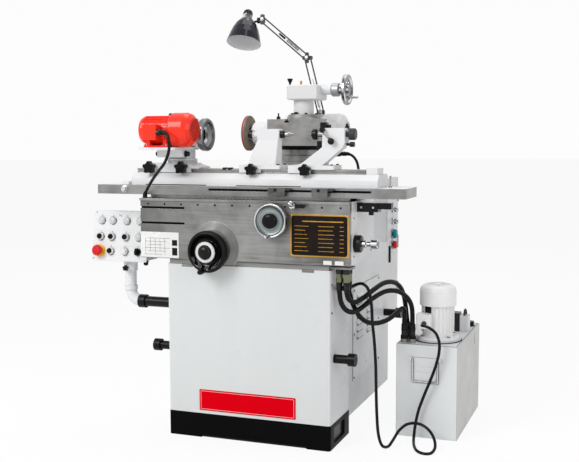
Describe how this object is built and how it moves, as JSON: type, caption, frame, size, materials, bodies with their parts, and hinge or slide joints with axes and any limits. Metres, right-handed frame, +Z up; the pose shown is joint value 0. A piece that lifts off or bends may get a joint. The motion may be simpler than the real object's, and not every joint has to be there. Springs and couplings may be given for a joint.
{
  "type": "wet grinding sharpener",
  "caption": "Tool and cutter grinder with sliding table, workhead, tailstocks, lifting wheelhead, lamp, control pendant, cabinet and a pump tank on hoses.",
  "frame": {"origin": "on the floor at the centre of the four anchor bolts of the bed", "axes": "+X to the operator's right along the table, +Y away from the operator, +Z up"},
  "size_m": [1.398, 1.381, 1.6526],
  "materials": {
    "white_paint": "semi-gloss enamel, slightly worn",
    "machined_steel": "ground steel with a light oil film",
    "chrome": "polished plating",
    "black_paint": "semi-gloss black enamel",
    "black_plastic": "moulded phenolic",
    "red_paint": "bright red enamel",
    "red_plastic": "moulded",
    "teal_plastic": "moulded",
    "white_plastic": "moulded",
    "abrasive": "bonded abrasive grit",
    "hose_rubber": "smooth black",
    "shade_enamel": "dark blue-black enamel"
  },
  "bodies": {
    "base": {"bed": "white_paint", "side_panel": "white_paint", "lifting_bars": "black_paint", "column": "white_paint", "cabinet": "white_paint", "pendant_arm": "black_paint", "hose_manifold": "black_paint", "tank": "white_paint", "pump_motor": "white_paint", "pump_fan_cowl": "white_paint", "valve_block": "black_paint", "hose_a": "hose_rubber", "hose_b": "hose_rubber", "hose_c": "hose_rubber", "pump_cable": "hose_rubber"},
    "cabinet_door": {"cabinet_door": "white_paint"},
    "start_button": {"cabinet_start_button": "teal_plastic"},
    "stop_button": {"cabinet_stop_button": "red_plastic"},
    "tank_handle": {"tank_handle": "white_paint"},
    "pendant": {"pendant_box": "white_paint"},
    "pendant_clamp": {"pendant_clamp": "black_plastic"},
    "pendant_button_1": {"pendant_button_1": "black_plastic"},
    "pendant_button_2": {"pendant_button_2": "black_plastic"},
    "pendant_button_3": {"pendant_button_3": "black_plastic"},
    "pendant_button_4": {"pendant_button_4": "black_plastic"},
    "pendant_button_5": {"pendant_button_5": "white_plastic"},
    "pendant_estop": {"pendant_estop": "red_plastic"},
    "pendant_selector": {"pendant_selector": "black_plastic"},
    "saddle": {"saddle": "machined_steel", "workhead_cable": "hose_rubber"},
    "cross_handwheel": {"cross_handwheel": "black_plastic"},
    "dial_handwheel": {"dial_handwheel": "chrome"},
    "feed_knob": {"feed_knob": "chrome"},
    "reverse_lever": {"reverse_lever": "chrome"},
    "table": {"lower_table": "machined_steel"},
    "dog_left": {"table_dog_left": "machined_steel"},
    "dog_right": {"table_dog_right": "machined_steel"},
    "swivel_table": {"swivel_table": "white_paint"},
    "workhead_slide": {"workhead_base": "white_paint"},
    "workhead_knob_left": {"workhead_knob_left": "black_plastic"},
    "workhead_knob_right": {"workhead_knob_right": "black_plastic"},
    "workhead": {"workhead_body": "white_paint", "workhead_motor": "red_paint"},
    "work_spindle": {"workhead_spindle": "machined_steel"},
    "left_tailstock": {"left_tailstock": "white_paint"},
    "left_tailstock_knob": {"left_tailstock_knob": "black_plastic"},
    "right_tailstock": {"right_tailstock": "white_paint"},
    "right_tailstock_knob": {"right_tailstock_knob": "black_plastic"},
    "right_centre": {"right_centre": "machined_steel"},
    "tailstock_lever": {"tailstock_lever": "chrome"},
    "lift_column": {"lift_column": "white_paint"},
    "lift_handwheel": {"lift_handwheel": "chrome"},
    "wheelhead": {"wheelhead": "machined_steel", "head_motor": "white_paint", "head_cable": "hose_rubber"},
    "grinding_spindle": {"grinding_spindle": "chrome", "grinding_wheel": "abrasive"},
    "lamp_arm_lower": {"lamp_arm_lower": "black_paint"},
    "lamp_arm_upper": {"lamp_arm_upper": "black_paint"},
    "lamp_shade": {"lamp_shade": "shade_enamel"}
  },
  "joints": [
    {"name": "cabinet_door_hinge", "type": "hinge", "parent": "base", "child": "cabinet_door", "pos_m": [0.243, 0.725, 0.612], "axis": [0, 0, 1], "range_deg": [0, 110]},
    {"name": "start_button_push", "type": "slide", "parent": "cabinet_door", "child": "start_button", "axis": [-1, 0, 0], "range_m": [0, 0.005], "stiffness_N_per_m": 400, "springref_m": -0.002},
    {"name": "stop_button_push", "type": "slide", "parent": "cabinet_door", "child": "stop_button", "axis": [-1, 0, 0], "range_m": [0, 0.005], "stiffness_N_per_m": 400, "springref_m": -0.002},
    {"name": "tank_handle_hinge", "type": "hinge", "parent": "base", "child": "tank_handle", "pos_m": [0.601, -0.27, 0.298], "axis": [1, 0, 0], "range_deg": [-80, 0], "deforming": ["pump_cable"]},
    {"name": "pendant_swivel", "type": "hinge", "parent": "base", "child": "pendant", "pos_m": [-0.534, -0.431, 0.64], "axis": [0, 0, 1], "range_deg": [-60, 20]},
    {"name": "pendant_clamp_turn", "type": "hinge", "parent": "pendant", "child": "pendant_clamp", "pos_m": [-0.534, -0.467, 0.614], "axis": [0, -1, 0], "range_deg": [0, 360]},
    {"name": "pendant_button_1_push", "type": "slide", "parent": "pendant", "child": "pendant_button_1", "axis": [0, 0.9816, -0.1908], "range_m": [0, 0.0035], "stiffness_N_per_m": 400, "springref_m": -0.002},
    {"name": "pendant_button_2_push", "type": "slide", "parent": "pendant", "child": "pendant_button_2", "axis": [0, 0.9816, -0.1908], "range_m": [0, 0.0035], "stiffness_N_per_m": 400, "springref_m": -0.002},
    {"name": "pendant_button_3_push", "type": "slide", "parent": "pendant", "child": "pendant_button_3", "axis": [0, 0.9816, -0.1908], "range_m": [0, 0.0035], "stiffness_N_per_m": 400, "springref_m": -0.002},
    {"name": "pendant_button_4_push", "type": "slide", "parent": "pendant", "child": "pendant_button_4", "axis": [0, 0.9816, -0.1908], "range_m": [0, 0.0035], "stiffness_N_per_m": 400, "springref_m": -0.002},
    {"name": "pendant_button_5_push", "type": "slide", "parent": "pendant", "child": "pendant_button_5", "axis": [0, 0.9816, -0.1908], "range_m": [0, 0.0035], "stiffness_N_per_m": 400, "springref_m": -0.002},
    {"name": "pendant_estop_push", "type": "slide", "parent": "pendant", "child": "pendant_estop", "axis": [0, 0.9816, -0.1908], "range_m": [0, 0.004], "stiffness_N_per_m": 400, "springref_m": -0.002},
    {"name": "pendant_selector_turn", "type": "hinge", "parent": "pendant", "child": "pendant_selector", "pos_m": [-0.478, -0.47451, 0.67837], "axis": [0, -0.9816, 0.1908], "range_deg": [-45, 45]},
    {"name": "cross_feed", "type": "slide", "parent": "base", "child": "saddle", "axis": [0, 1, 0], "range_m": [-0.13, 0.02]},
    {"name": "cross_handwheel_turn", "type": "hinge", "parent": "saddle", "child": "cross_handwheel", "pos_m": [-0.13, -0.551, 0.706], "axis": [0, -1, 0], "range_deg": [-2345, 365]},
    {"name": "dial_handwheel_turn", "type": "hinge", "parent": "saddle", "child": "dial_handwheel", "pos_m": [0.112, -0.551, 0.824], "axis": [0, -1, 0], "range_deg": [-725, 725]},
    {"name": "feed_knob_turn", "type": "hinge", "parent": "saddle", "child": "feed_knob", "pos_m": [0.395, -0.487, 0.744], "axis": [1, 0, 0], "range_deg": [-270, 270]},
    {"name": "reverse_lever_turn", "type": "hinge", "parent": "saddle", "child": "reverse_lever", "pos_m": [0.19, -0.551, 0.878], "axis": [0, 1, 0], "range_deg": [-20, 20]},
    {"name": "table_traverse", "type": "slide", "parent": "saddle", "child": "table", "axis": [1, 0, 0], "range_m": [-0.2, 0.2], "deforming": ["workhead_cable"]},
    {"name": "dog_left_slide", "type": "slide", "parent": "table", "child": "dog_left", "axis": [1, 0, 0], "range_m": [-0.05, 0.05]},
    {"name": "dog_right_slide", "type": "slide", "parent": "table", "child": "dog_right", "axis": [1, 0, 0], "range_m": [-0.05, 0.1]},
    {"name": "table_swivel", "type": "hinge", "parent": "table", "child": "swivel_table", "pos_m": [0, -0.439, 0.94], "axis": [0, 0, 1], "range_deg": [-5, 5], "deforming": ["workhead_cable"]},
    {"name": "workhead_clamp_slide", "type": "slide", "parent": "swivel_table", "child": "workhead_slide", "axis": [1, 0, 0], "range_m": [-0.06, 0.05], "deforming": ["workhead_cable"]},
    {"name": "workhead_knob_left_turn", "type": "hinge", "parent": "workhead_slide", "child": "workhead_knob_left", "pos_m": [-0.402, -0.496, 1.0053], "axis": [0, -1, 0], "range_deg": [0, 180]},
    {"name": "workhead_knob_right_turn", "type": "hinge", "parent": "workhead_slide", "child": "workhead_knob_right", "pos_m": [-0.27, -0.496, 1.0053], "axis": [0, -1, 0], "range_deg": [0, 180]},
    {"name": "workhead_swivel", "type": "hinge", "parent": "workhead_slide", "child": "workhead", "pos_m": [-0.3, -0.436, 1.022], "axis": [0, 0, 1], "range_deg": [-15, 15], "deforming": ["workhead_cable"]},
    {"name": "work_spindle_turn", "type": "hinge", "parent": "workhead", "child": "work_spindle", "pos_m": [-0.3, -0.436, 1.1263], "axis": [1, 0, 0], "continuous": true},
    {"name": "left_tailstock_slide", "type": "slide", "parent": "swivel_table", "child": "left_tailstock", "axis": [1, 0, 0], "range_m": [-0.03, 0.025]},
    {"name": "left_tailstock_knob_turn", "type": "hinge", "parent": "left_tailstock", "child": "left_tailstock_knob", "pos_m": [0.008, -0.496, 1.0003], "axis": [0, -1, 0], "range_deg": [0, 180]},
    {"name": "right_tailstock_slide", "type": "slide", "parent": "swivel_table", "child": "right_tailstock", "axis": [1, 0, 0], "range_m": [0, 0.09]},
    {"name": "right_tailstock_knob_turn", "type": "hinge", "parent": "right_tailstock", "child": "right_tailstock_knob", "pos_m": [0.213, -0.496, 1.0003], "axis": [0, -1, 0], "range_deg": [0, 180]},
    {"name": "right_centre_slide", "type": "slide", "parent": "right_tailstock", "child": "right_centre", "axis": [1, 0, 0], "range_m": [0, 0.01], "stiffness_N_per_m": 800, "springref_m": -0.006},
    {"name": "tailstock_lever_turn", "type": "hinge", "parent": "right_tailstock", "child": "tailstock_lever", "pos_m": [0.266, -0.4583, 1.1413], "axis": [0, 1, 0], "range_deg": [-2, 14]},
    {"name": "head_lift", "type": "slide", "parent": "base", "child": "lift_column", "axis": [0, 0, 1], "range_m": [-0.05, 0.15], "deforming": ["head_cable"]},
    {"name": "lift_handwheel_turn", "type": "hinge", "parent": "lift_column", "child": "lift_handwheel", "pos_m": [0.2, -0.006, 1.305], "axis": [1, 0, 0], "range_deg": [-905, 2705]},
    {"name": "wheelhead_swivel", "type": "hinge", "parent": "lift_column", "child": "wheelhead", "pos_m": [0.034, -0.006, 1.083], "axis": [0, 0, 1], "range_deg": [-15, 15], "deforming": ["head_cable"]},
    {"name": "grinding_spindle_turn", "type": "hinge", "parent": "wheelhead", "child": "grinding_spindle", "pos_m": [0, -0.136, 1.133], "axis": [1, 0, 0], "continuous": true},
    {"name": "lamp_lower_hinge", "type": "hinge", "parent": "wheelhead", "child": "lamp_arm_lower", "pos_m": [0.078, 0.076, 1.219], "axis": [0, 1, 0], "range_deg": [-25, 20]},
    {"name": "lamp_upper_hinge", "type": "hinge", "parent": "lamp_arm_lower", "child": "lamp_arm_upper", "pos_m": [0.02016, 0.076, 1.44264], "axis": [0, 1, 0], "range_deg": [-20, 25]},
    {"name": "lamp_shade_hinge", "type": "hinge", "parent": "lamp_arm_upper", "child": "lamp_shade", "pos_m": [-0.17623, 0.076, 1.60685], "axis": [0, 1, 0], "range_deg": [-20, 20]}
  ],
  "couplings": [
    {"joint": "cross_handwheel_turn", "follows": "cross_feed", "rad_per_m": 314.16},
    {"joint": "dial_handwheel_turn", "follows": "table_traverse", "rad_per_m": 62.832},
    {"joint": "tailstock_lever_turn", "follows": "right_centre_slide", "rad_per_m": 22},
    {"joint": "lift_handwheel_turn", "follows": "head_lift", "rad_per_m": 314.16}
  ]
}
